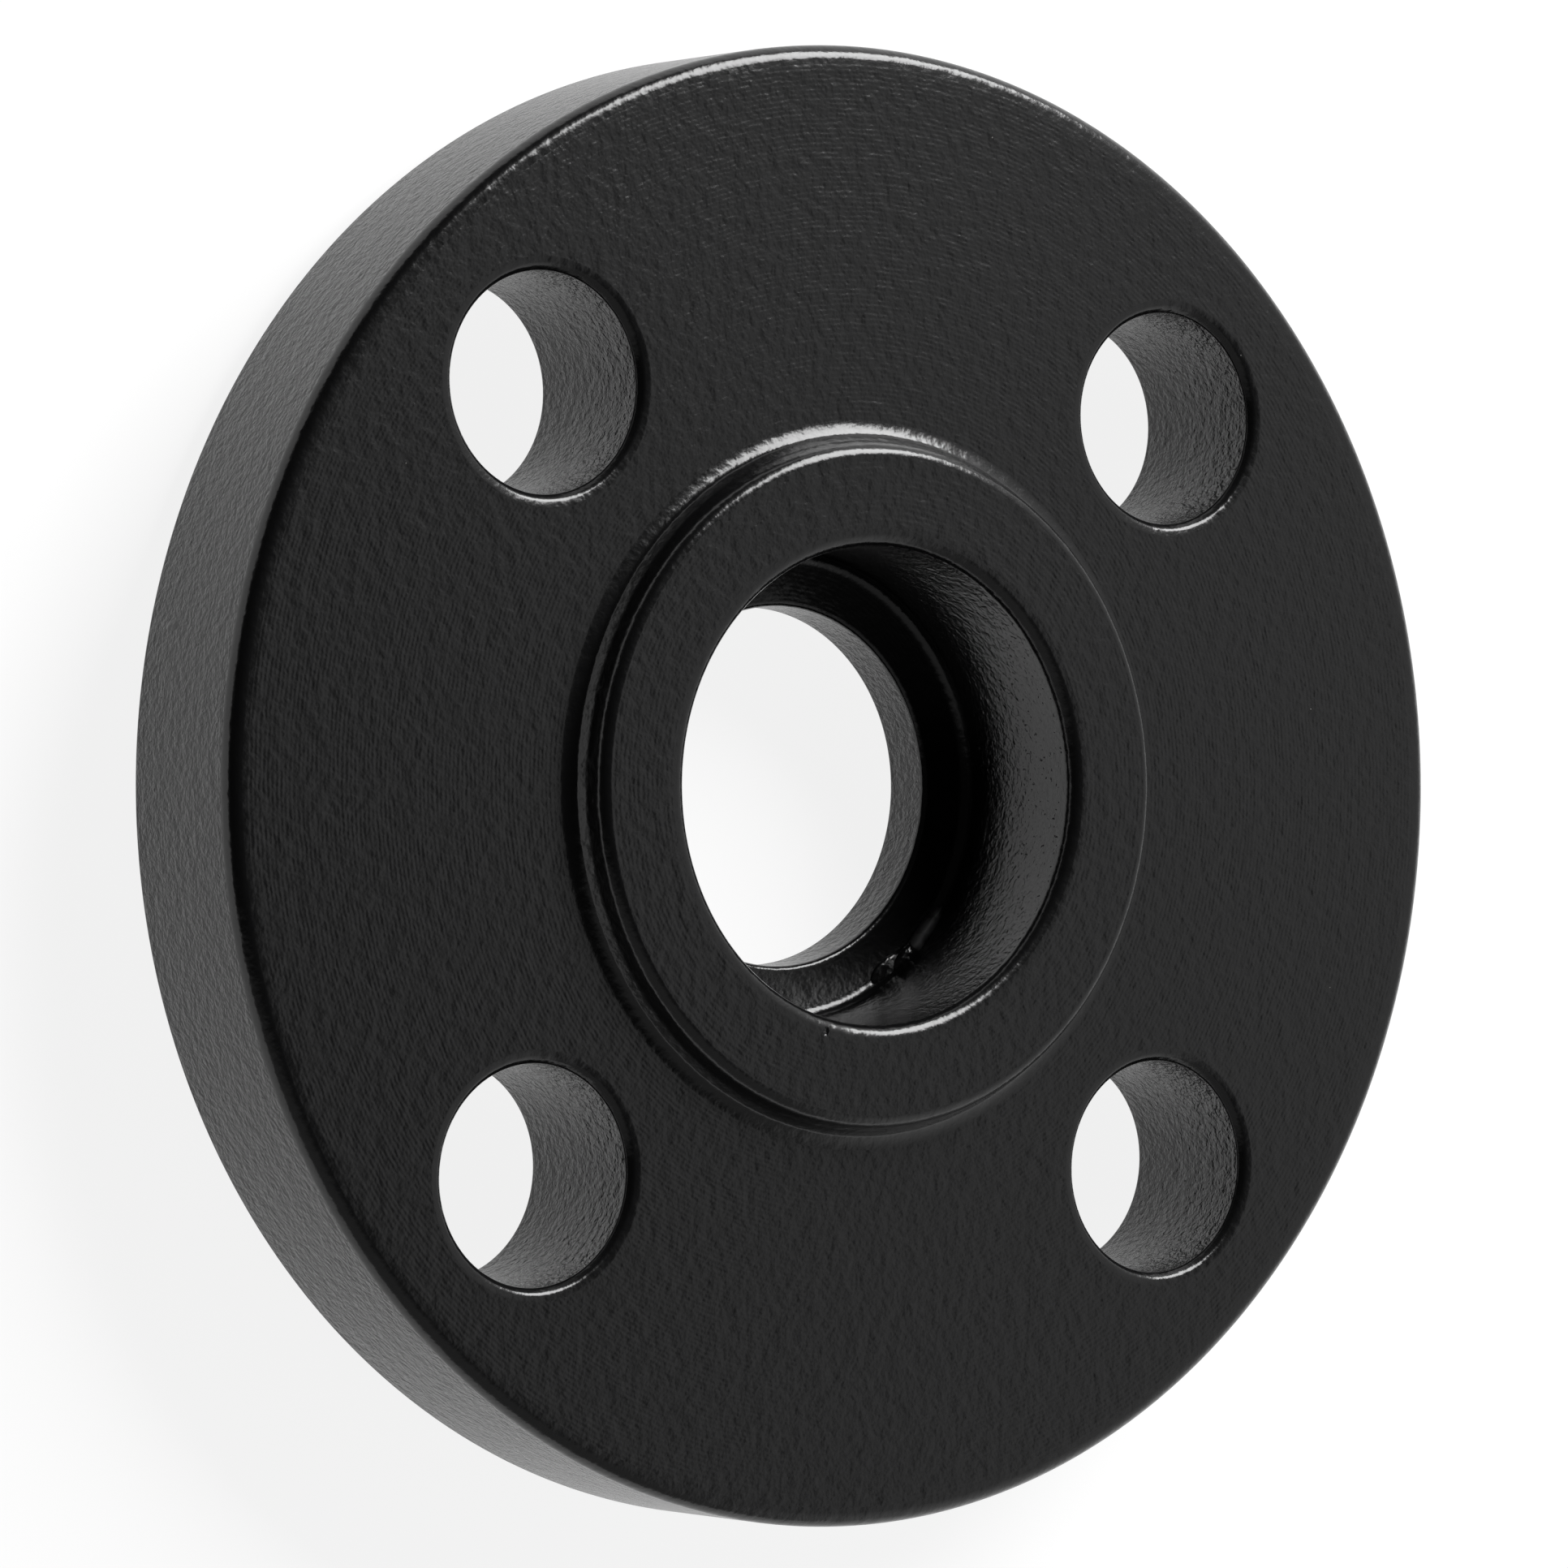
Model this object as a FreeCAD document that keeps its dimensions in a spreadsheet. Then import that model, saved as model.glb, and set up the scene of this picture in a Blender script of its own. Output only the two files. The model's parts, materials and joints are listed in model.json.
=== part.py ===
import FreeCAD, Part
import math
import os
import Sketcher

# Socket weld flange for a one inch pipe, with a raised face and four bolt holes. Millimetres.
# It is one forging, turned and drilled, so it is one body and one solid.
# It lies on its raised face: the origin is the centre of that face and +Z runs up the pipe's axis,
# through the flange and out of the socket's mouth.

SIZES = [
    # alias, value, what it is
    ("pipe_outside_diameter", 33.4, "outside of the pipe that slides into the socket"),
    ("pipe_wall", 3.4, "wall of that pipe, which sets the flow bore"),
    ("socket_clearance", 0.7, "gap all round the pipe in the socket"),
    ("hub_wall", 7.25, "metal round the socket in the hub"),
    ("hub_height", 2.65, "hub above the nut face"),
    ("disc_thickness", 13.1, "nut face to the back of the disc, without the raised face"),
    ("raised_face_height", 1.6, "raised face below the back of the disc"),
    ("raised_face_width", 12.1, "gasket seat from the flow bore to its edge"),
    ("shoulder_thickness", 4.35, "raised face to the shoulder that stops the pipe"),
    ("bolt_hole_diameter", 15.9, "clearance hole for a half inch bolt"),
    ("bolt_hole_count", 4, "holes round the bolt circle"),
    ("nut_land", 7.1, "flat between the hub and a bolt hole"),
    ("rim_land", 6.325, "flat between a bolt hole and the rim"),
    ("rim_chamfer", 1.1, "front edge of the rim"),
    ("rim_back_chamfer", 0.5, "back edge of the rim"),
    ("raised_face_chamfer", 0.3, "edge of the raised face"),
    ("hub_root_fillet", 1.9, "hollow where the hub meets the nut face"),
    ("hub_edge_fillet", 0.55, "outer edge of the hub's end"),
    ("mouth_chamfer", 1.3, "lead-in of the socket"),
    ("shoulder_fillet", 0.5, "inner corner of the socket"),
    ("bore_chamfer", 0.35, "both ends of the flow bore"),
    ("bolt_hole_chamfer", 0.65, "both ends of each bolt hole"),
]

# Sizes that follow from the named ones, as expressions of the sheet.
SOCKET_D = "(Sizes.pipe_outside_diameter + 2 * Sizes.socket_clearance)"
BORE_D = "(Sizes.pipe_outside_diameter - 2 * Sizes.pipe_wall)"
HUB_D = "(%s + 2 * Sizes.hub_wall)" % SOCKET_D
FACE_D = "(%s + 2 * Sizes.raised_face_width)" % BORE_D
CIRCLE_D = "(%s + 2 * Sizes.nut_land + Sizes.bolt_hole_diameter)" % HUB_D
FLANGE_D = "(%s + Sizes.bolt_hole_diameter + 2 * Sizes.rim_land)" % CIRCLE_D
NUT_FACE_Z = "(Sizes.raised_face_height + Sizes.disc_thickness)"
HUB_TOP_Z = "(%s + Sizes.hub_height)" % NUT_FACE_Z


def fill_sheet(doc):
    sheet = doc.addObject("Spreadsheet::Sheet", "Sizes")
    sheet.Label = "Sizes"
    for row, (alias, value, meaning) in enumerate(SIZES, start=1):
        sheet.set("A%d" % row, alias)
        sheet.set("B%d" % row, str(value))
        sheet.set("C%d" % row, meaning)
        sheet.setAlias("B%d" % row, alias)
    doc.recompute()
    return sheet


def origin_item(body, role):
    return next(item for item in body.Origin.OriginFeatures if item.Role == role)


def new_sketch(body, name, role, height=None):
    sketch = body.newObject("Sketcher::SketchObject", name)
    sketch.AttachmentSupport = [(origin_item(body, role), "")]
    sketch.MapMode = "FlatFace"
    if height:
        sketch.setExpression(".AttachmentOffset.Base.z", height)
    return sketch


def bind(sketch, index, name, expression):
    sketch.renameConstraint(index, name)
    sketch.setExpression("Constraints." + name, expression)


def stepped_section(sketch, corners):
    """Closed half section beside the axis: corners are (radius name, radius, height name, height),
    where each radius and height is an expression, or None on the axis or on the ground."""
    doc = sketch.Document
    doc.recompute()
    value = sketch.evalExpression
    points = []
    for radius, height in corners:
        r = float(value(radius)) if radius else 0.0
        z = float(value(height)) if height else 0.0
        points.append(FreeCAD.Vector(r, z, 0))
    count = len(points)
    for k in range(count):
        sketch.addGeometry(Part.LineSegment(points[k], points[(k + 1) % count]), False)
    for k in range(count):
        sketch.addConstraint(Sketcher.Constraint("Coincident", k, 2, (k + 1) % count, 1))
    for k in range(count):
        a, b = points[k], points[(k + 1) % count]
        kind = "Horizontal" if abs(a.y - b.y) < 1e-9 else "Vertical"
        sketch.addConstraint(Sketcher.Constraint(kind, k))
    return points


def circle_at(sketch, radius, centre_distance=0.0, angle=0.0):
    x = centre_distance * math.cos(angle)
    y = centre_distance * math.sin(angle)
    sketch.addGeometry(Part.Circle(FreeCAD.Vector(x, y, 0), FreeCAD.Vector(0, 0, 1), radius), False)
    return sketch.addConstraint(Sketcher.Constraint("Diameter", 0, 2 * radius))


def rings(shape, radius, height, centre=None):
    """Names of the round edges of this radius at this height, all round the axis or round centre."""
    names = []
    for k, edge in enumerate(shape.Edges, start=1):
        curve = edge.Curve
        if not isinstance(curve, Part.Circle):
            continue
        middle = curve.Center
        if abs(curve.Radius - radius) > 1e-4 or abs(middle.z - height) > 1e-4:
            continue
        if abs(curve.Axis.z) < 0.999:
            continue
        away = math.hypot(middle.x, middle.y)
        if abs(away - (centre or 0.0)) < 1e-4:
            names.append("Edge%d" % k)
    return names


def dress(body, kind, name, size, edges, base):
    """Chamfer or fillet on the named edges of the last feature."""
    if not edges:
        raise RuntimeError("no edge found for " + name)
    feature = body.newObject("PartDesign::" + kind, name)
    feature.Base = (base, edges)
    feature.setExpression("Size" if kind == "Chamfer" else "Radius", size)
    return feature


def cut_down(body, name, sketch, depth=None):
    """Pocket from a sketch down through the metal below it."""
    before = body.Shape.Volume
    pocket = body.newObject("PartDesign::Pocket", name)
    pocket.Profile = sketch
    if depth:
        pocket.Type = "Length"
        pocket.setExpression("Length", depth)
    else:
        pocket.Type = "ThroughAll"
    body.Document.recompute()
    if pocket.Shape.Volume > before - 1.0:
        raise RuntimeError(name + " cuts nothing")
    return pocket


def build(doc):
    fill_sheet(doc)
    body = doc.addObject("PartDesign::Body", "SocketWeldFlange")
    body.Label = "socket_weld_flange"
    doc.recompute()

    # Forged blank: the raised face, the disc and the low hub, turned about the axis.
    section = new_sketch(body, "BlankSection", "XZ_Plane")
    corners = [
        (None, None),
        (FACE_D + " / 2", None),
        (FACE_D + " / 2", "Sizes.raised_face_height"),
        (FLANGE_D + " / 2", "Sizes.raised_face_height"),
        (FLANGE_D + " / 2", NUT_FACE_Z),
        (HUB_D + " / 2", NUT_FACE_Z),
        (HUB_D + " / 2", HUB_TOP_Z),
        (None, HUB_TOP_Z),
    ]
    stepped_section(section, corners)
    section.addConstraint(Sketcher.Constraint("Coincident", 0, 1, -1, 1))
    for line, name, radius in (
        (1, "face_radius", FACE_D),
        (3, "flange_radius", FLANGE_D),
        (5, "hub_radius", HUB_D),
    ):
        k = section.addConstraint(Sketcher.Constraint("DistanceX", -1, 1, line, 1, 1.0))
        bind(section, k, name, radius + " / 2")
    for line, name, height in (
        (2, "disc_back", "Sizes.raised_face_height"),
        (4, "nut_face", NUT_FACE_Z),
        (6, "hub_top", HUB_TOP_Z),
    ):
        k = section.addConstraint(Sketcher.Constraint("DistanceY", -1, 1, line, 1, 1.0))
        bind(section, k, name, height)
    blank = body.newObject("PartDesign::Revolution", "Blank")
    blank.Profile = section
    blank.ReferenceAxis = (section, ["V_Axis"])
    blank.Angle = 360.0
    section.Visibility = False
    doc.recompute()

    # The socket for the pipe, down to the shoulder that stops the pipe's end.
    mouth = new_sketch(body, "SocketMouth", "XY_Plane", HUB_TOP_Z)
    k = circle_at(mouth, 17.0)
    mouth.addConstraint(Sketcher.Constraint("Coincident", 0, 3, -1, 1))
    bind(mouth, k, "socket_diameter", SOCKET_D)
    cut_down(body, "Socket", mouth, HUB_TOP_Z + " - Sizes.shoulder_thickness")

    # The flow bore goes right through, as wide as the inside of the pipe.
    bore = new_sketch(body, "BoreCircle", "XY_Plane", HUB_TOP_Z)
    k = circle_at(bore, 13.0)
    bore.addConstraint(Sketcher.Constraint("Coincident", 0, 3, -1, 1))
    bind(bore, k, "bore_diameter", BORE_D)
    cut_down(body, "FlowBore", bore)

    # One bolt hole, half a step from the X axis so that the holes straddle both centre lines,
    # then the whole circle of holes.
    hole = new_sketch(body, "BoltHoleCircle", "XY_Plane", NUT_FACE_Z)
    radius = float(hole.evalExpression(CIRCLE_D)) / 2
    step = math.pi / float(hole.evalExpression("Sizes.bolt_hole_count"))
    k = circle_at(hole, 8.0, radius, step)
    bind(hole, k, "hole_diameter", "Sizes.bolt_hole_diameter")
    spoke = hole.addGeometry(Part.LineSegment(
        FreeCAD.Vector(0, 0, 0),
        FreeCAD.Vector(radius * math.cos(step), radius * math.sin(step), 0)), True)
    hole.addConstraint(Sketcher.Constraint("Coincident", spoke, 1, -1, 1))
    hole.addConstraint(Sketcher.Constraint("Coincident", spoke, 2, 0, 3))
    k = hole.addConstraint(Sketcher.Constraint("Distance", spoke, radius))
    bind(hole, k, "circle_radius", CIRCLE_D + " / 2")
    k = hole.addConstraint(Sketcher.Constraint("Angle", -1, 1, spoke, 1, step))
    bind(hole, k, "half_step", "180 deg / Sizes.bolt_hole_count")
    first = cut_down(body, "BoltHole", hole)
    ring = body.newObject("PartDesign::PolarPattern", "BoltHoles")
    ring.Originals = [first]
    ring.Axis = (origin_item(body, "Z_Axis"), [""])
    ring.Angle = 360.0
    ring.setExpression("Occurrences", "Sizes.bolt_hole_count")
    body.Tip = ring
    doc.recompute()

    # Edges, taken one ring at a time where they really are.
    number = lambda text: float(ring.evalExpression(text))
    hub_r, face_r, flange_r = number(HUB_D) / 2, number(FACE_D) / 2, number(FLANGE_D) / 2
    socket_r, bore_r, circle_r = number(SOCKET_D) / 2, number(BORE_D) / 2, number(CIRCLE_D) / 2
    hole_r = number("Sizes.bolt_hole_diameter") / 2
    back, nut_face, top = number("Sizes.raised_face_height"), number(NUT_FACE_Z), number(HUB_TOP_Z)
    shoulder = number("Sizes.shoulder_thickness")

    last = dress(body, "Fillet", "HubRoot",
                 "min(Sizes.hub_root_fillet; 0.75 * Sizes.hub_height; 0.5 * Sizes.nut_land)",
                 rings(ring.Shape, hub_r, nut_face), ring)
    doc.recompute()
    last = dress(body, "Fillet", "HubEdge",
                 "min(Sizes.hub_edge_fillet; 0.22 * Sizes.hub_height; 0.3 * Sizes.hub_wall)",
                 rings(last.Shape, hub_r, top), last)
    doc.recompute()
    last = dress(body, "Chamfer", "SocketMouthEdge",
                 "min(Sizes.mouth_chamfer; 0.5 * Sizes.hub_wall)",
                 rings(last.Shape, socket_r, top), last)
    doc.recompute()
    last = dress(body, "Fillet", "ShoulderCorner",
                 "min(Sizes.shoulder_fillet; 0.4 * (Sizes.pipe_wall + Sizes.socket_clearance))",
                 rings(last.Shape, socket_r, shoulder), last)
    doc.recompute()
    last = dress(body, "Chamfer", "BoreEdges",
                 "min(Sizes.bore_chamfer; 0.3 * Sizes.pipe_wall)",
                 rings(last.Shape, bore_r, shoulder) + rings(last.Shape, bore_r, 0.0), last)
    doc.recompute()
    last = dress(body, "Chamfer", "RimEdge",
                 "min(Sizes.rim_chamfer; 0.4 * Sizes.rim_land; 0.4 * Sizes.disc_thickness)",
                 rings(last.Shape, flange_r, nut_face), last)
    doc.recompute()
    last = dress(body, "Chamfer", "RimBackEdge",
                 "min(Sizes.rim_back_chamfer; 0.3 * Sizes.rim_land; 0.3 * Sizes.disc_thickness)",
                 rings(last.Shape, flange_r, back), last)
    doc.recompute()
    last = dress(body, "Chamfer", "FaceEdge",
                 "min(Sizes.raised_face_chamfer; 0.5 * Sizes.raised_face_height)",
                 rings(last.Shape, face_r, 0.0), last)
    doc.recompute()
    last = dress(body, "Chamfer", "BoltHoleEdges",
                 "min(Sizes.bolt_hole_chamfer; 0.3 * Sizes.nut_land; 0.3 * Sizes.rim_land; "
                 "0.3 * Sizes.disc_thickness)",
                 rings(last.Shape, hole_r, nut_face, circle_r)
                 + rings(last.Shape, hole_r, back, circle_r), last)
    body.Tip = last
    doc.recompute()

    for text in (FLANGE_D, CIRCLE_D, HUB_D, SOCKET_D, BORE_D, FACE_D, HUB_TOP_Z):
        print(text.replace("Sizes.", ""), "=", round(number(text), 3))
    return [body]


def check(doc, bodies):
    for item in doc.Objects:
        if "Invalid" in item.State or "Error" in item.State:
            raise RuntimeError("failed: %s %s" % (item.Name, item.State))
    for body in bodies:
        shape = body.Shape
        if shape.isNull() or not shape.isValid():
            raise RuntimeError("bad shape: " + body.Label)
        if len(shape.Solids) != 1:
            raise RuntimeError("%s has %d solids" % (body.Label, len(shape.Solids)))


doc = FreeCAD.newDocument("SocketWeldFlange")
bodies = build(doc)
check(doc, bodies)
os.makedirs("parts", exist_ok=True)
for body in bodies:
    body.Shape.exportStep("parts/%s.step" % body.Label)
    box = body.Shape.BoundBox
    print(body.Label, "volume %.1f mm3" % body.Shape.Volume,
          "x %.3f..%.3f y %.3f..%.3f z %.3f..%.3f" % (box.XMin, box.XMax, box.YMin, box.YMax, box.ZMin, box.ZMax))
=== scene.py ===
# %% [markdown]
# # A painted socket weld flange
# The object is one black steel flange for a one inch pipe. It was forged, turned on a lathe,
# drilled four times and sprayed with black paint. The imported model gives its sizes. Here the same
# flange is turned once more in Blender, with the soft edges that paint leaves, and gets its paint.

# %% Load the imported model
import json
import math
import bmesh
import bpy
from mathutils import Matrix, Vector


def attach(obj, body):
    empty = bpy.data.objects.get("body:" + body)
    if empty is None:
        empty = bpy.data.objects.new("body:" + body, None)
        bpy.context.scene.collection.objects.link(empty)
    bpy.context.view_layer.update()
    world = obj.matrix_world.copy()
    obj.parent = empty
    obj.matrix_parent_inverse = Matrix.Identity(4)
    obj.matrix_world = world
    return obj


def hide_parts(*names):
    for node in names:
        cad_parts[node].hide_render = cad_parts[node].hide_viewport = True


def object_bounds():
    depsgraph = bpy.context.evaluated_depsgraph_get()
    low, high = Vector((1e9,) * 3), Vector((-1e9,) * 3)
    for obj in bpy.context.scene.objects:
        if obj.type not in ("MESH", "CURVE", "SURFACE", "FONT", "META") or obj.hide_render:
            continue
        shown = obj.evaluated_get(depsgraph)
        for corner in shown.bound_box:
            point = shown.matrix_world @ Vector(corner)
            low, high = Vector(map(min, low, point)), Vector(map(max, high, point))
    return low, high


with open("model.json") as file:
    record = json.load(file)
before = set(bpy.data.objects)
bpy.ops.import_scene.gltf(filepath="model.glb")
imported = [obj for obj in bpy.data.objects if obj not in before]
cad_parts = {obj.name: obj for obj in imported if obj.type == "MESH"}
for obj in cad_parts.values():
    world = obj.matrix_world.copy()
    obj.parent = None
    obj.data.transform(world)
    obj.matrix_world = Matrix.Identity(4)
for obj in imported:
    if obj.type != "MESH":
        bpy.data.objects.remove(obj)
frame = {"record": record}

cad_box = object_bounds()
print("CAD box", [[round(v, 5) for v in corner] for corner in cad_box])

# %% [markdown]
# ## Sizes
# The sizes that the record states as mounts are read from it. The others are the flange's own, in
# millimetres. Blender works in metres, so every length is multiplied by MM where it is used.

# %% The flange's sizes
MM = 0.001
NODE = "socket_weld_flange"
mounts = {mount["name"]: mount for mount in frame["record"]["mounts"]}

socket_radius = mounts["pipe_socket"]["dims"]["r_mm"]
hole_radius = mounts["bolt_circle"]["dims"]["hole_r_mm"]
hole_circle = mounts["bolt_circle"]["dims"]["pcd_mm"] / 2
bore_radius = 13.3
hub_foot = (26.13, 14.7)
hub_ankle = (25.50, 15.05)
hub_waist = (25.09, 15.82)
hub_lip_radius = 24.65
flange_radius = cad_box[1][0] / MM
raised_face_radius = 25.4
disc_back = 1.6
nut_face = 14.7
hub_top = cad_box[1][2] / MM
shoulder = 4.35
print("flange radius", round(flange_radius, 3), "hub top", round(hub_top, 3))
print("socket radius", socket_radius, "hole radius", hole_radius)

# %% [markdown]
# ## Camera
# The camera looks down on the hub's side, about 36 degrees off the pipe's axis, from half a metre
# away with a long lens. The flange's own Y axis points up in the picture.

# %% Place the camera
camera_data = bpy.data.cameras.new("camera")
camera_data.sensor_width = 36.0
camera_data.lens = 174.2
camera_data.clip_start = 0.01
camera = bpy.data.objects.new("camera", camera_data)
bpy.context.scene.collection.objects.link(camera)
picture_right = Vector((0.81153, 0.01252, 0.58417))
picture_up = Vector((-0.01772, 0.99984, 0.00319))
towards_camera = Vector((-0.58404, -0.01294, 0.81162))
turn = Matrix((picture_right, picture_up, towards_camera)).transposed()
camera_place = Vector((-327.46, -7.10, 459.95)) * MM
camera.matrix_world = Matrix.Translation(camera_place) @ turn.to_4x4()
bpy.context.scene.camera = camera
print("camera at", [round(v, 4) for v in camera.location])

# %% [markdown]
# ## How to draw a turned part
# A lathe turns the flange, so it is the same all the way round. It could be cut out of cylinders
# with booleans, but then every soft edge would be a bevel on a cut. It is easier to draw half of
# the section and spin it. The section is drawn as by hand: one vertex is placed on the first corner
# and extruded to each next one, and the last is joined to the first. Rounding is a vertex bevel.

# %% Draw a section
def clear_selection():
    bpy.ops.object.select_all(action="DESELECT")


def pick(piece):
    """Selects the piece alone and makes it active."""
    clear_selection()
    piece.select_set(True)
    bpy.context.view_layer.objects.active = piece


def draw_section(name, corners, closed=True):
    """A line of edges in the XZ plane through corners, given in millimetres."""
    clear_selection()
    bpy.ops.mesh.primitive_plane_add(size=MM)
    piece = bpy.context.object
    piece.name = name
    bpy.ops.object.mode_set(mode="EDIT")
    bpy.ops.mesh.select_mode(type="VERT")
    bpy.ops.mesh.select_all(action="SELECT")
    bpy.ops.mesh.merge(type="CENTER")
    x, z = corners[0]
    bpy.ops.transform.translate(value=(x * MM, 0, z * MM))
    for next_x, next_z in corners[1:]:
        step = ((next_x - x) * MM, 0, (next_z - z) * MM)
        bpy.ops.mesh.extrude_region_move(TRANSFORM_OT_translate={"value": step})
        x, z = next_x, next_z
    if closed:
        select_points(piece, [corners[0], corners[-1]])
        bpy.ops.mesh.edge_face_add()
    return piece


# %% Pick points of the section and round them
def select_points(piece, points, reach=0.01):
    """Selects the section's vertices that lie at the given points, in millimetres."""
    bpy.ops.mesh.select_all(action="DESELECT")
    mesh = bmesh.from_edit_mesh(piece.data)
    for vertex in mesh.verts:
        for x, z in points:
            if math.hypot(vertex.co.x / MM - x, vertex.co.z / MM - z) < reach:
                vertex.select = True
    mesh.select_flush(True)
    bmesh.update_edit_mesh(piece.data)


def round_corner(piece, point, reach, segments):
    select_points(piece, [point])
    bpy.ops.mesh.bevel(offset=reach * MM, segments=segments, profile=0.5, affect="VERTICES")


# %% Spin a section into a solid
def spin_section(piece, steps):
    """A full turn round Z. The first and last section meet there, so their doubles are merged."""
    bpy.ops.mesh.select_all(action="SELECT")
    bpy.ops.mesh.spin(steps=steps, angle=2 * math.pi, axis=(0, 0, 1), center=(0, 0, 0))
    bpy.ops.mesh.select_all(action="SELECT")
    bpy.ops.mesh.remove_doubles(threshold=0.0005 * MM)
    bpy.ops.mesh.normals_make_consistent(inside=False)
    bpy.ops.object.mode_set(mode="OBJECT")
    print(piece.name, "spun:", len(piece.data.vertices), "vertices")


# %% [markdown]
# ## The turned body
# From the pipe's axis outwards the real flange has a flow bore, a raised face for the gasket, the
# disc, a low hub with a slightly stepped side, and a socket that the pipe's end is pushed into. The
# section goes round all of that in one closed line of twelve corners.

# %% Draw the section of the flange
section_corners = [
    (bore_radius, 0.0),
    (raised_face_radius, 0.0),
    (raised_face_radius, disc_back),
    (flange_radius, disc_back),
    (flange_radius, nut_face),
    hub_foot,
    hub_ankle,
    hub_waist,
    (hub_lip_radius, hub_top),
    (socket_radius, hub_top),
    (socket_radius, shoulder),
    (bore_radius, shoulder),
]
flange = draw_section("painted_flange", section_corners)
print("section drawn with", len(section_corners), "corners")

# %% [markdown]
# ## Edges of the turned body
# No edge of a painted part is sharp. Some have a chamfer that the lathe cut, and the others only
# the soft rounding of the paint. A bevel modifier would give all of them one width, so each corner of
# the section is treated by itself while it is still a single point. A chamfer is a bevel of one
# segment whose two ends are moved to their real lengths and then rounded as well.

# %% Chamfer the corners that the lathe broke
def chamfer_corner(piece, corner, along_x, along_z, soft_x, soft_z, segments=6):
    """A chamfer by one bevel segment, with its ends rounded over soft_x and soft_z."""
    x, z = corner
    size = min(abs(along_x), abs(along_z))
    round_corner(piece, corner, size, 1)
    first = [(x + math.copysign(size, along_x), z), (x, z + math.copysign(size, along_z))]
    ends = [(x + along_x, z), (x, z + along_z)]
    for start, end in zip(first, ends):
        select_points(piece, [start])
        shift = ((end[0] - start[0]) * MM, 0, (end[1] - start[1]) * MM)
        bpy.ops.transform.translate(value=shift)
    round_corner(piece, ends[0], soft_x, segments)
    round_corner(piece, ends[1], soft_z, segments)


chamfer_corner(flange, (flange_radius, nut_face), -1.50, -0.13, 0.46, 1.03, 9)
chamfer_corner(flange, (socket_radius, hub_top), 1.30, -0.11, 0.38, 0.91, 9)
chamfer_corner(flange, (flange_radius, disc_back), -0.5, 0.5, 0.15, 0.15)
chamfer_corner(flange, (raised_face_radius, 0.0), -0.3, 0.3, 0.1, 0.1)

# %% Round the other corners
round_corner(flange, hub_foot, 0.5, 12)
round_corner(flange, hub_ankle, 0.18, 7)
round_corner(flange, hub_waist, 0.14, 4)
round_corner(flange, (hub_lip_radius, hub_top), 0.685, 12)
round_corner(flange, (socket_radius, shoulder), 0.9, 7)
round_corner(flange, (bore_radius, shoulder), 0.4, 6)
round_corner(flange, (bore_radius, 0.0), 0.3, 4)
round_corner(flange, (raised_face_radius, disc_back), 0.3, 4)
print("section has", len(bmesh.from_edit_mesh(flange.data).verts), "points")

# %% [markdown]
# ## The spin
# The section is spun a full turn. Many steps are used because the rim is seen from close by, where
# a coarse circle would show its corners against the pale floor.

# %% Spin it round the pipe's axis
BODY_STEPS = 384
spin_section(flange, BODY_STEPS)

# %% [markdown]
# ## The bolt holes
# Four bolts go through the disc, half way between the centre lines. The holes could be bridged into
# the mesh by hand, but their broken edges would be hard to keep even. So one solid is turned with
# the shape of the drill and of the edge break, copied to each place and taken away with a boolean.

# %% Turn the drill
def hole_centre(k):
    angle = math.radians(45 + 90 * k)
    return hole_circle * math.cos(angle), hole_circle * math.sin(angle)


DRILL_STEPS = 96
past = 0.6
back_chamfer = 0.6
drill_corners = [
    (0.0, disc_back - past),
    (hole_radius + back_chamfer + past, disc_back - past),
    (hole_radius, disc_back + back_chamfer),
    (hole_radius, nut_face - 0.50),
    (hole_radius + 0.40, nut_face - 0.08),
    (hole_radius + 0.95, nut_face + 0.004),
    (hole_radius + 1.4, nut_face + 0.014),
    (hole_radius + 1.4, nut_face + past),
    (0.0, nut_face + past),
]
drill = draw_section("drill", drill_corners, closed=False)
round_corner(drill, drill_corners[2], 0.15, 3)
round_corner(drill, drill_corners[3], 0.12, 3)
round_corner(drill, drill_corners[4], 0.16, 6)
round_corner(drill, drill_corners[5], 0.2, 3)
spin_section(drill, DRILL_STEPS)

# %% Copy the drill to the four places
centre_x, centre_y = hole_centre(0)
drill.location = (centre_x * MM, centre_y * MM, 0)
drills = [drill]
for k in (1, 2, 3):
    copy = drill.copy()
    copy.data = drill.data.copy()
    bpy.context.scene.collection.objects.link(copy)
    centre_x, centre_y = hole_centre(k)
    copy.location = (centre_x * MM, centre_y * MM, 0)
    drills.append(copy)
for tool in drills:
    print(tool.name, "at", [round(v / MM, 2) for v in tool.location[:2]], "mm")


# %% Join one solid to another or take it away
def combine(piece, tool, operation):
    """Joins the tool to the piece, or takes it away, and removes the tool."""
    pick(piece)
    step = piece.modifiers.new(operation.lower(), "BOOLEAN")
    step.operation = operation
    step.solver = "EXACT"
    step.object = tool
    bpy.ops.object.modifier_apply(modifier=step.name)
    name = tool.name
    bpy.data.objects.remove(tool)
    print(name, "leaves", len(piece.data.vertices), "vertices")


# %% Cut the four holes
for tool in drills:
    combine(flange, tool, "DIFFERENCE")

# %% [markdown]
# ## Where the paint ran
# Paint ran down the socket and dried as lumps in its corner, the socket's lip was nicked, and a
# small crust sits on the rim. Such places could be sculpted, but a small ball, stretched, laid in
# place and roughened by a displace modifier, gives the same lump in a few lines. A boolean then
# joins the ball to the flange, or takes it away where something has dug in.

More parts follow.
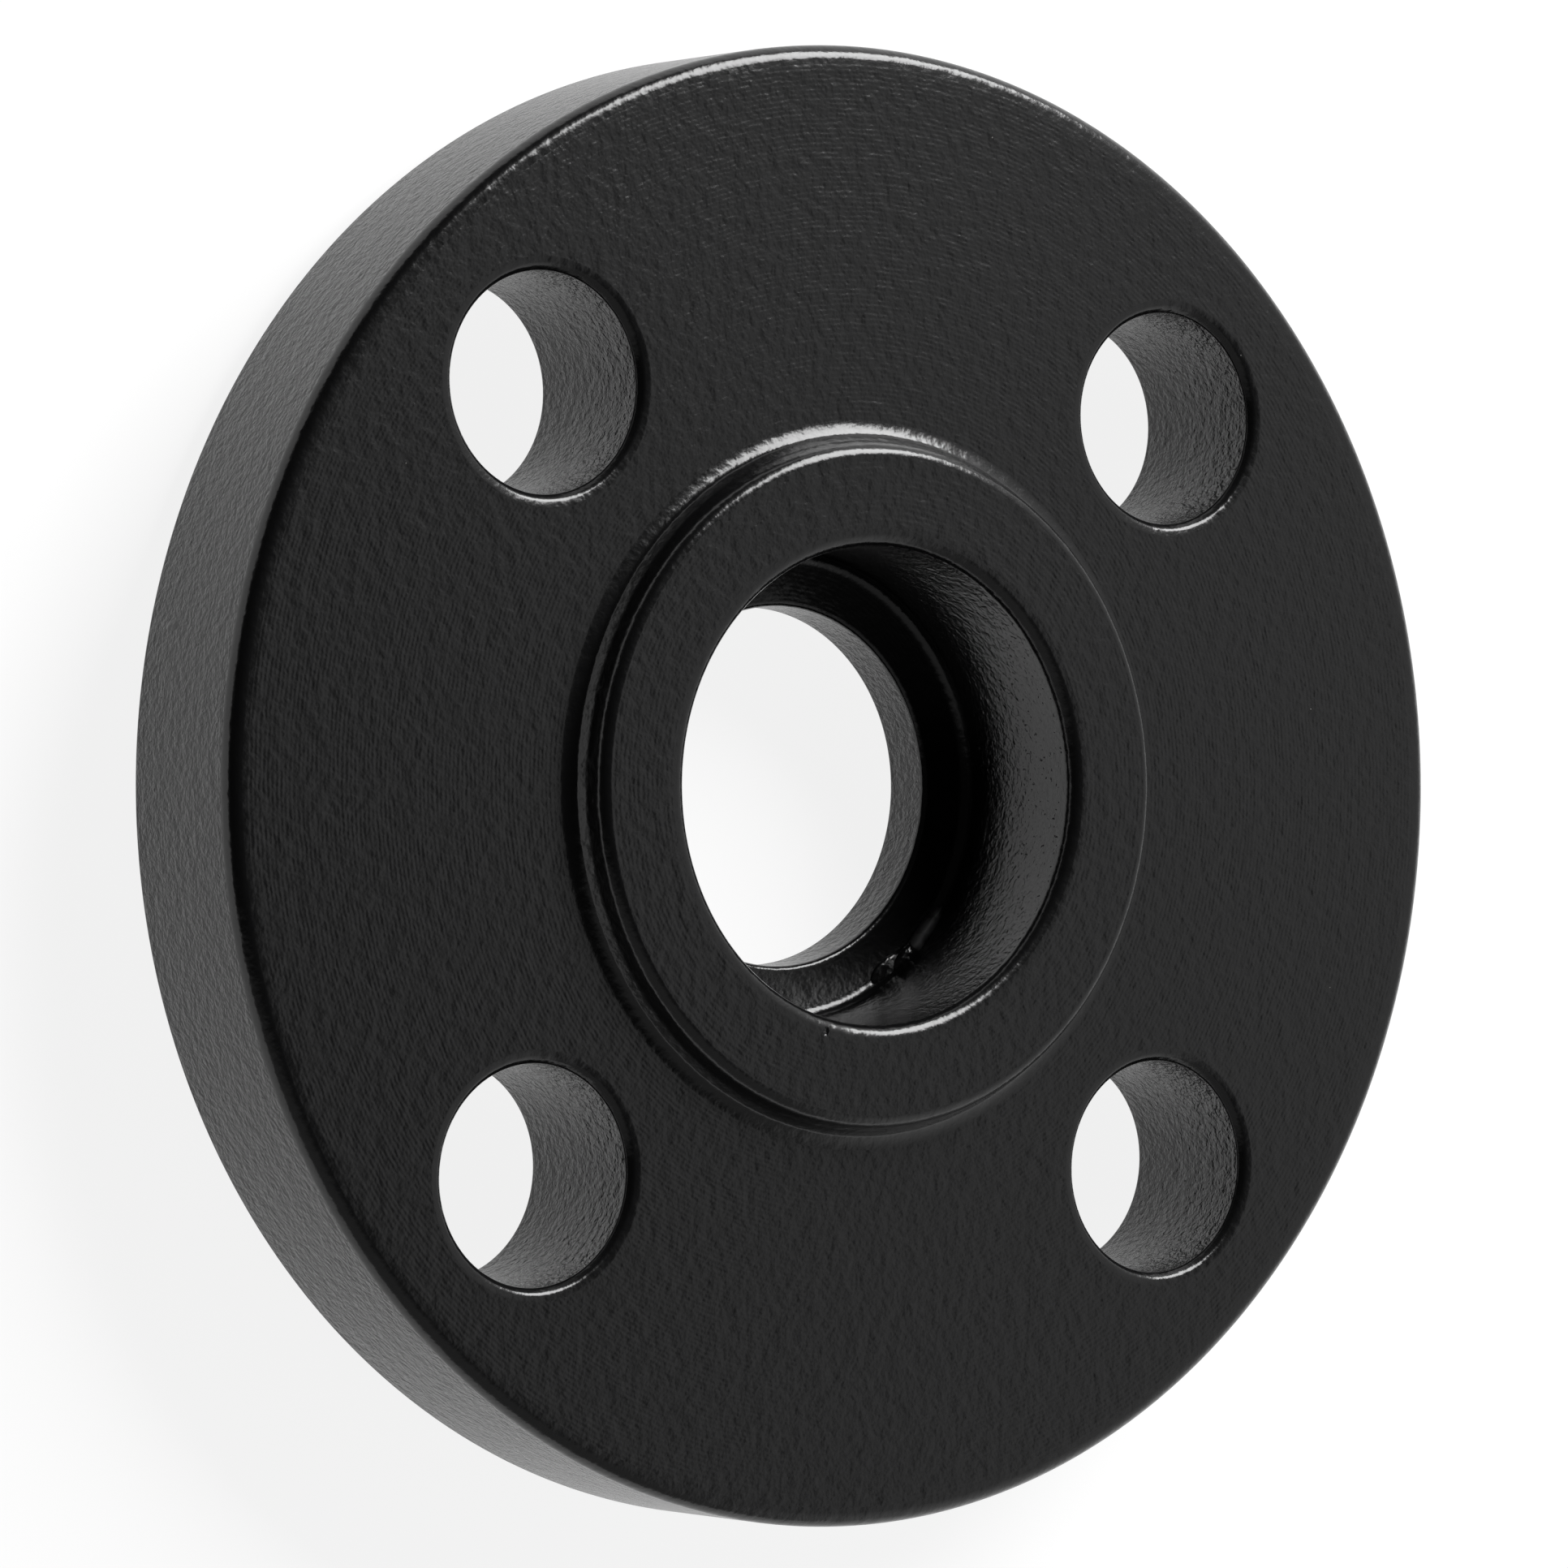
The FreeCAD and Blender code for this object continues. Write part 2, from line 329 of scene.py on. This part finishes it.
# %% Make a lump
def lump(name, place, half_sizes, roughness, grain):
    """A roughened ball. place is radius, degrees and height. half_sizes are out, along and up."""
    away, degrees, height = place
    turned = math.radians(degrees)
    clear_selection()
    bpy.ops.mesh.primitive_ico_sphere_add(subdivisions=5, radius=MM)
    ball = bpy.context.object
    ball.name = name
    ball.scale = half_sizes
    ball.rotation_euler = (0, 0, turned)
    ball.location = (away * math.cos(turned) * MM, away * math.sin(turned) * MM, height * MM)
    bpy.ops.object.transform_apply(location=True, rotation=True, scale=True)
    clouds = bpy.data.textures.new(name, "CLOUDS")
    clouds.noise_scale = grain * MM
    clouds.noise_depth = 2
    rough = ball.modifiers.new("rough", "DISPLACE")
    rough.texture = clouds
    rough.texture_coords = "LOCAL"
    rough.strength = roughness * MM
    rough.mid_level = 0.5
    bpy.ops.object.modifier_apply(modifier=rough.name)
    return ball


# %% Place the run, the nick and the crust
flaws = [
    ("run_top", (17.12, 320.5, 4.62), (0.66, 3.00, 0.60), 0.10, 0.9, "UNION"),
    ("run_ragged", (17.12, 313.2, 4.60), (0.62, 1.70, 0.44), 0.14, 0.6, "UNION"),
    ("run_foot", (16.95, 306.6, 4.42), (0.90, 1.80, 0.26), 0.11, 0.7, "UNION"),
    ("lip_nick", (18.45, 254.6, 17.50), (0.46, 0.30, 0.30), 0.14, 0.35, "DIFFERENCE"),
    ("rim_crust", (53.86, 169.0, 5.15), (0.16, 0.55, 1.20), 0.06, 0.4, "UNION"),
]
for name, place, half_sizes, roughness, grain, operation in flaws:
    combine(flange, lump(name, place, half_sizes, roughness, grain), operation)

# %% [markdown]
# ## Smooth shading
# Paint has no facets. Smooth shading alone would make the flat faces look domed beside their narrow
# roundings, so each normal is also weighted by the size of its face: flat faces stay flat then.

# %% Shade the flange
pick(flange)
bpy.ops.object.shade_smooth_by_angle(angle=math.radians(32))
weighted = flange.modifiers.new("weighted normals", "WEIGHTED_NORMAL")
weighted.keep_sharp = True
weighted.weight = 50
bpy.ops.object.modifier_apply(modifier=weighted.name)
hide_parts(NODE)
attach(flange, "root")
flange.data.calc_loop_triangles()
print("flange:", len(flange.data.loop_triangles), "triangles")

# %% [markdown]
# ## Nodes from code
# Materials are trees of nodes. Adding and linking nodes takes the same few lines each time, so they
# are kept in small functions, and the paints further down can then be read almost as sentences.

# %% Add and feed nodes
def add_node(tree, kind, **settings):
    node = tree.nodes.new(kind)
    for name, value in settings.items():
        setattr(node, name, value)
    return node


def feed(tree, node, values):
    """Sets or links inputs by name or number."""
    for key, value in values.items():
        socket = node.inputs[key]
        if isinstance(value, bpy.types.NodeSocket):
            tree.links.new(value, socket)
        else:
            socket.default_value = value
    return node


# %% Sums, noise, ramps and blends
def maths(tree, operation, a, b=0.0):
    node = add_node(tree, "ShaderNodeMath", operation=operation)
    feed(tree, node, {0: a, 1: b})
    return node.outputs[0]


def noise(tree, vector, scale, detail=2.0, roughness=0.5, distortion=0.0):
    node = add_node(tree, "ShaderNodeTexNoise")
    feed(tree, node, {"Vector": vector, "Scale": scale, "Detail": detail,
                      "Roughness": roughness, "Distortion": distortion})
    return node.outputs["Fac"]


def ramp(tree, value, low, high, to_low=0.0, to_high=1.0):
    node = add_node(tree, "ShaderNodeMapRange", interpolation_type="SMOOTHSTEP")
    feed(tree, node, {"Value": value, "From Min": low, "From Max": high,
                      "To Min": to_low, "To Max": to_high})
    return node.outputs["Result"]


def blend(tree, mask, dark, light):
    """One of two plain colours, by a mask."""
    node = add_node(tree, "ShaderNodeMix", data_type="RGBA")
    feed(tree, node, {"Factor": mask, "A": (*dark, 1.0), "B": (*light, 1.0)})
    return node.outputs["Result"]


# %% Make and use a node group
def new_group(name, inputs, outputs):
    tree = bpy.data.node_groups.new(name, "ShaderNodeTree")
    for label, kind, value in inputs:
        socket = tree.interface.new_socket(name=label, in_out="INPUT", socket_type=kind)
        if value is not None:
            socket.default_value = value
    for label in outputs:
        tree.interface.new_socket(name=label, in_out="OUTPUT", socket_type="NodeSocketFloat")
    return tree, tree.nodes.new("NodeGroupInput"), tree.nodes.new("NodeGroupOutput")


def use_group(tree, group, **values):
    node = add_node(tree, "ShaderNodeGroup", node_tree=group)
    feed(tree, node, {name.replace("_", " "): value for name, value in values.items()})
    return node


# %% [markdown]
# ## Lathe rings
# A facing tool leaves one long spiral groove, and it still shows through the paint. Cutting it into
# the mesh would take millions of faces, so it is a height for a Bump node: a sine of the distance
# from the axis, with one extra pitch per turn. Noise breaks it up where the paint has filled it. It
# is a group, because three faces use it, each with its own pitch.

# %% Group: lathe rings
rings, rings_in, rings_out = new_group(
    "lathe rings",
    [("Vector", "NodeSocketVector", None), ("Pitch", "NodeSocketFloat", 0.35 * MM),
     ("Wander", "NodeSocketFloat", 0.25)],
    ["Height"])
split = feed(rings, add_node(rings, "ShaderNodeSeparateXYZ"), {0: rings_in.outputs["Vector"]})
flat = feed(rings, add_node(rings, "ShaderNodeCombineXYZ"),
            {"X": split.outputs["X"], "Y": split.outputs["Y"]})
radius = feed(rings, add_node(rings, "ShaderNodeVectorMath", operation="LENGTH"),
              {0: flat.outputs[0]})
turns = maths(rings, "DIVIDE", radius.outputs["Value"], rings_in.outputs["Pitch"])
angle = maths(rings, "ARCTAN2", split.outputs["Y"], split.outputs["X"])
turns = maths(rings, "ADD", turns, maths(rings, "DIVIDE", angle, 2 * math.pi))
wander = maths(rings, "SUBTRACT", noise(rings, rings_in.outputs["Vector"], 700.0, 2.0), 0.5)
turns = maths(rings, "ADD", turns, maths(rings, "MULTIPLY", wander, rings_in.outputs["Wander"]))
wave = maths(rings, "SINE", maths(rings, "MULTIPLY", turns, 2 * math.pi))
patchy = ramp(rings, noise(rings, rings_in.outputs["Vector"], 420.0, 2.0), 0.3, 0.65, 0.3, 1.0)
feed(rings, rings_out, {"Height": maths(rings, "MULTIPLY", wave, patchy)})
print("lathe rings:", len(rings.nodes), "nodes")

# %% [markdown]
# ## Sprayed skin
# Sprayed paint dries as a fine orange peel with broader waves under it. One noise alone looks like
# sand, so a fine and a broad noise are added. Small pits are taken off, and a little Curl keeps
# thick paint on the walls from looking like even sand.

# %% Group: sprayed skin
skin, skin_in, skin_out = new_group(
    "sprayed skin",
    [("Vector", "NodeSocketVector", None), ("Fine", "NodeSocketFloat", 2600.0),
     ("Broad", "NodeSocketFloat", 520.0), ("Broad share", "NodeSocketFloat", 0.5),
     ("Pits", "NodeSocketFloat", 0.0), ("Curl", "NodeSocketFloat", 0.0)],
    ["Height"])
fine = noise(skin, skin_in.outputs["Vector"], skin_in.outputs["Fine"], 2.0, 0.6,
             skin_in.outputs["Curl"])
broad = noise(skin, skin_in.outputs["Vector"], skin_in.outputs["Broad"], 2.0, 0.5,
              skin_in.outputs["Curl"])
pitted = ramp(skin, noise(skin, skin_in.outputs["Vector"], 3000.0, 1.0), 0.70, 0.78)
height = maths(skin, "ADD", fine, maths(skin, "MULTIPLY", broad, skin_in.outputs["Broad share"]))
height = maths(skin, "SUBTRACT", height, maths(skin, "MULTIPLY", pitted, skin_in.outputs["Pits"]))
feed(skin, skin_out, {"Height": height})
print("sprayed skin:", len(skin.nodes), "nodes")

# %% [markdown]
# ## Dust
# A few pale specks of dust lie on black paint. Voronoi cells scatter them: by its random colour a
# cell is given a speck or not, and the speck its size.

# %% Group: dust specks
dust, dust_in, dust_out = new_group(
    "dust specks",
    [("Vector", "NodeSocketVector", None), ("Spacing", "NodeSocketFloat", 500.0),
     ("Share", "NodeSocketFloat", 0.06)],
    ["Mask"])
cells = add_node(dust, "ShaderNodeTexVoronoi")
feed(dust, cells, {"Vector": dust_in.outputs["Vector"], "Scale": dust_in.outputs["Spacing"]})
chance = feed(dust, add_node(dust, "ShaderNodeSeparateColor"), {0: cells.outputs["Color"]})
lucky = maths(dust, "LESS_THAN", chance.outputs["Red"], dust_in.outputs["Share"])
size = ramp(dust, chance.outputs["Green"], 0.0, 1.0, 0.012, 0.035)
near = maths(dust, "LESS_THAN", cells.outputs["Distance"], size)
feed(dust, dust_out, {"Mask": maths(dust, "MULTIPLY", lucky, near)})
print("dust specks:", len(dust.nodes), "nodes")

# %% [markdown]
# ## The black paint
# The flange has one coat of satin black. Its colour is nearly nothing, and what the eye reads as
# grey is the room in its gloss. So the base colour is almost black, and roughness does the rest.

# %% Start a paint
BLACK = (0.004, 0.004, 0.0042)
DUST = (0.16, 0.155, 0.15)


def start_paint(name, roughness):
    paint = bpy.data.materials.new(name)
    paint.use_nodes = True
    tree = paint.node_tree
    shader = tree.nodes["Principled BSDF"]
    feed(tree, shader, {"Base Color": (*BLACK, 1.0), "Roughness": roughness})
    place = add_node(tree, "ShaderNodeTexCoord").outputs["Object"]
    return paint, tree, shader, place


def bump(tree, height, distance, normal=None):
    node = add_node(tree, "ShaderNodeBump")
    feed(tree, node, {"Height": height, "Distance": distance, "Strength": 1.0})
    if normal is not None:
        tree.links.new(normal, node.inputs["Normal"])
    return node.outputs["Normal"]


def dust_over(tree, shader, place, spacing, share):
    """Light specks of dust over the black."""
    specks = use_group(tree, dust, Vector=place, Spacing=spacing, Share=share).outputs["Mask"]
    feed(tree, shader, {"Base Color": blend(tree, specks, BLACK, DUST)})


# %% [markdown]
# ## Paint on the turned faces
# The nut face, the hub's top and the gasket face were faced on the lathe. Two bumps are chained,
# the rings first and the skin of the paint over them, so that each keeps its own depth.

# %% Paint for the turned faces
def faced(name, pitch, groove, spray):
    """Paint over a face that the lathe left ringed. groove and spray are heights in millimetres."""
    paint, tree, shader, place = start_paint(name, 0.24)
    centred = add_node(tree, "ShaderNodeMapping")
    feed(tree, centred, {"Vector": place, "Location": (0.1 * MM, -0.2 * MM, 0.0)})
    ring_height = use_group(tree, rings, Vector=centred.outputs[0], Pitch=pitch * MM,
                            Wander=0.7).outputs["Height"]
    skin_height = use_group(tree, skin, Vector=place, Fine=2800.0, Broad=1050.0,
                            Broad_share=5.0).outputs["Height"]
    ringed = bump(tree, ring_height, groove * MM)
    feed(tree, shader, {"Normal": bump(tree, skin_height, spray * MM, ringed)})
    dust_over(tree, shader, place, 450.0, 0.05)
    return paint


faced_paint = faced("paint on the nut face", 0.355, 0.0027, 0.0130)
hub_paint = faced("paint on the hub top", 0.407, 0.0027, 0.0145)
gasket_paint = faced("paint on the gasket face", 0.8, 0.016, 0.0095)
print("turned faces:", faced_paint.name + ",", hub_paint.name + ",", gasket_paint.name)

# %% [markdown]
# ## Paint on the walls
# On upright walls the spray lies thicker and dries with a coarser grain, a little longer round the
# flange than along its axis. A Mapping node squeezes the pattern along the axis to give that.

# %% Paint for the walls
def wall(name, roughness, squeeze, fine, broad, pits, spray, dusty):
    """Paint over a turned or drilled wall, whose skin is drawn out round the axis."""
    paint, tree, shader, place = start_paint(name, roughness)
    squeezed = add_node(tree, "ShaderNodeMapping")
    feed(tree, squeezed, {"Vector": place, "Scale": (1.0, 1.0, squeeze)})
    grain = use_group(tree, skin, Vector=squeezed.outputs[0], Fine=fine, Broad=broad,
                      Broad_share=1.0, Pits=pits, Curl=0.15).outputs["Height"]
    feed(tree, shader, {"Normal": bump(tree, grain, spray * MM)})
    dust_over(tree, shader, place, 500.0, dusty)
    return paint


rim_paint = wall("paint on the rim", 0.23, 1.3, 2200.0, 900.0, 1.3, 0.115, 0.05)
bore_paint = wall("paint on drilled walls", 0.23, 1.1, 2200.0, 950.0, 1.0, 0.150, 0.03)
socket_paint = wall("paint in the socket", 0.22, 1.1, 2200.0, 850.0, 1.0, 0.062, 0.08)
print("walls:", rim_paint.name + ",", bore_paint.name + ",", socket_paint.name)

# %% [markdown]
# ## Paint on the edges and in the run
# Paint draws back from an edge and dries thin and smooth there. Where it ran it dried thick and
# matt, so that paint is rougher. Its colour goes between black and a grey that is a painted
# reflection: patches of the grey band that the run mirrors are painted into its colour.

# %% Paint for the edges
edge_paint, tree, shader, place = start_paint("paint over edges", 0.21)
skin_height = use_group(tree, skin, Vector=place, Fine=2600.0, Broad=1150.0,
                        Broad_share=5.0).outputs["Height"]
feed(tree, shader, {"Normal": bump(tree, skin_height, 0.0105 * MM)})
dust_over(tree, shader, place, 600.0, 0.08)
print("edges:", len(tree.nodes), "nodes")

# %% Paint for the run
# The grey here is a painted reflection of the grey that the run mirrors. The paint itself is black.
RUN_SHEEN_GREY = (0.040, 0.040, 0.041)
run_paint, tree, shader, place = start_paint("paint that ran", 0.50)
# Noise patches of painted reflection over the black of the run.
run_sheen = ramp(tree, noise(tree, place, 900.0, 3.0, 0.6), 0.38, 0.58)
feed(tree, shader, {"Base Color": blend(tree, run_sheen, BLACK, RUN_SHEEN_GREY)})
skin_height = use_group(tree, skin, Vector=place, Fine=2000.0, Broad=700.0,
                        Broad_share=1.0).outputs["Height"]
feed(tree, shader, {"Normal": bump(tree, skin_height, 0.006 * MM)})
print("run:", len(tree.nodes), "nodes")

# %% [markdown]
# ## Which paint goes where
# The flange is one mesh, so its paints are given face by face. Picking thousands of faces by hand
# is slow, but where a face lies and which way it looks say what it is.

# %% List the paints on the flange
paints = {"nut face": faced_paint, "hub top": hub_paint, "gasket face": gasket_paint,
          "rim": rim_paint, "drilled": bore_paint, "socket": socket_paint,
          "edge": edge_paint, "run": run_paint}
for paint in paints.values():
    flange.data.materials.append(paint)
print(len(flange.data.materials), "paints")


# %% Tell the dried run apart
def in_the_run(face, away, degrees, height):
    """The booleans leave the run as triangles, in the socket's corner between two angles."""
    beside = 315.5 < degrees < 331 and 15.9 < away < 17.9
    return beside and 4.4 < height < 5.6 and len(face.vertices) == 3


# %% Name the surface of a face
FLAT = 0.999
UPRIGHT = 0.02


def surface_of(face):
    """Names the surface that a face belongs to, by its place and the way it faces."""
    centre = face.center / MM
    away = math.hypot(centre.x, centre.y)
    degrees = math.degrees(math.atan2(centre.y, centre.x)) % 360
    level = abs(face.normal.z)
    if in_the_run(face, away, degrees, centre.z):
        return "run"
    if level > FLAT and centre.z > hub_top - 0.1:
        return "hub top"
    if level > FLAT and centre.z < 0.1:
        return "gasket face"
    if level > FLAT:
        return "nut face"
    if level < UPRIGHT and away > flange_radius - 0.5:
        return "rim"
    if level < UPRIGHT and abs(away - socket_radius) < 0.5:
        return "socket"
    if level < UPRIGHT:
        return "drilled"
    return "edge"


# %% Give each face its paint
counts = dict.fromkeys(paints, 0)
for face in flange.data.polygons:
    surface = surface_of(face)
    face.material_index = list(paints).index(surface)
    counts[surface] += 1
print("faces by paint:", counts)

# %% [markdown]
# ## The floor
# The flange lies on a plain pale table. Making it white with lamps would also burn out the object,
# so most of its white is a glow that only three kinds of rays see: those from the camera, those
# mirrored by gloss and those through glass. So the paint mirrors the same white table that the
# camera sees. The rest is an ordinary pale surface under the lamp, and that part takes the shadow.

# %% Rays that see the background
def background_rays(tree):
    """1 for camera, glossy and transmission rays, and 0 for the rays that light the object."""
    path = add_node(tree, "ShaderNodeLightPath")
    shown = maths(tree, "MAXIMUM", path.outputs["Is Camera Ray"], path.outputs["Is Glossy Ray"])
    return maths(tree, "MAXIMUM", shown, path.outputs["Is Transmission Ray"])


# %% Lay the floor
FLOOR_GREY = 0.20
FLOOR_GLOW = 0.86
clear_selection()
bpy.ops.mesh.primitive_plane_add(size=6.0, location=(0, 0, -0.02 * MM))
floor = bpy.context.object
floor.name = "floor"

# %% Make it pale
floor_paint = bpy.data.materials.new("white floor")
floor_paint.use_nodes = True
tree = floor_paint.node_tree
shader = tree.nodes["Principled BSDF"]
feed(tree, shader, {"Base Color": (FLOOR_GREY, FLOOR_GREY, FLOOR_GREY, 1.0), "Roughness": 0.9,
                    "Specular IOR Level": 0.0})
glow = add_node(tree, "ShaderNodeEmission")
feed(tree, glow, {"Strength": maths(tree, "MULTIPLY", background_rays(tree), FLOOR_GLOW)})
both = feed(tree, add_node(tree, "ShaderNodeAddShader"),
            {0: shader.outputs[0], 1: glow.outputs[0]})
feed(tree, tree.nodes["Material Output"], {"Surface": both.outputs[0]})
floor.data.materials.append(floor_paint)
print("floor glow", FLOOR_GLOW, "grey", FLOOR_GREY)

# %% [markdown]
# ## The lamp
# One large softbox stands high at the far right. It draws the bright lines along the edges. A sun
# lamp would make them thin and hard, so it is an area lamp of about the size of a real softbox. Its
# power is worked out from how bright its face should look.

# %% Hang the softbox
def softbox(name, place, aim, width, height, radiance):
    """A rectangular lamp at place that faces aim. Its power gives the wanted brightness."""
    data = bpy.data.lights.new(name, "AREA")
    data.shape = "RECTANGLE"
    data.size, data.size_y = width, height
    data.energy = radiance * math.pi * width * height
    lamp = bpy.data.objects.new(name, data)
    bpy.context.scene.collection.objects.link(lamp)
    lamp.location = place
    lamp.rotation_euler = (Vector(aim) - Vector(place)).to_track_quat("-Z", "Y").to_euler()
    print(name, "gives", round(data.energy, 2), "W")


softbox("softbox", (0.32, 0.457, 0.398), (0, 0, 0.01), 0.35, 0.41, 14.0)

# %% [markdown]
# ## The room
# Gloss shows the room, so a black part needs one. It could be built of white cards, but the world
# can hold them as soft patches by direction: a wall at the right, a weaker one at the front, a
# bright strip low at the left and little above. The pale horizon carries the floor's white on past
# its end, and so it is seen by the same three kinds of rays.

# %% Start the world
world = bpy.data.worlds.new("studio")
bpy.context.scene.world = world
world.use_nodes = True
tree = world.node_tree
direction = feed(tree, add_node(tree, "ShaderNodeSeparateXYZ"),
                 {0: add_node(tree, "ShaderNodeTexCoord").outputs["Generated"]})
x, y, z = (direction.outputs[axis] for axis in "XYZ")

# %% Walls, strip and horizon
left = maths(tree, "MULTIPLY", x, -1.0)
front = maths(tree, "MULTIPLY", y, -1.0)
right_wall = ramp(tree, x, 0.38, 0.64, 0.0, 0.55)
front_wall = ramp(tree, front, 0.15, 0.6, 0.0, 0.26)
walls = maths(tree, "MAXIMUM", maths(tree, "ADD", right_wall, front_wall), 0.02)
sideways = ramp(tree, maths(tree, "ABSOLUTE", y), 0.3, 0.8, 1.0, 0.0)
left_strip = maths(tree, "MULTIPLY", ramp(tree, left, 0.1, 0.6), sideways)
left_strip = maths(tree, "MULTIPLY", left_strip, ramp(tree, z, 0.03, 0.15, 1.2, 0.0))
horizon = maths(tree, "MULTIPLY", ramp(tree, z, 0.12, 0.20, 1.0, 0.0), background_rays(tree))
strength = maths(tree, "MAXIMUM", maths(tree, "ADD", walls, left_strip), horizon)
feed(tree, tree.nodes["Background"], {"Color": (1.0, 1.0, 1.0, 1.0), "Strength": strength})
print("studio:", len(tree.nodes), "nodes")

# %% [markdown]
# ## The view
# The Standard view shows a colour about as it is written.

# %% Set the view
bpy.context.scene.view_settings.view_transform = "Standard"
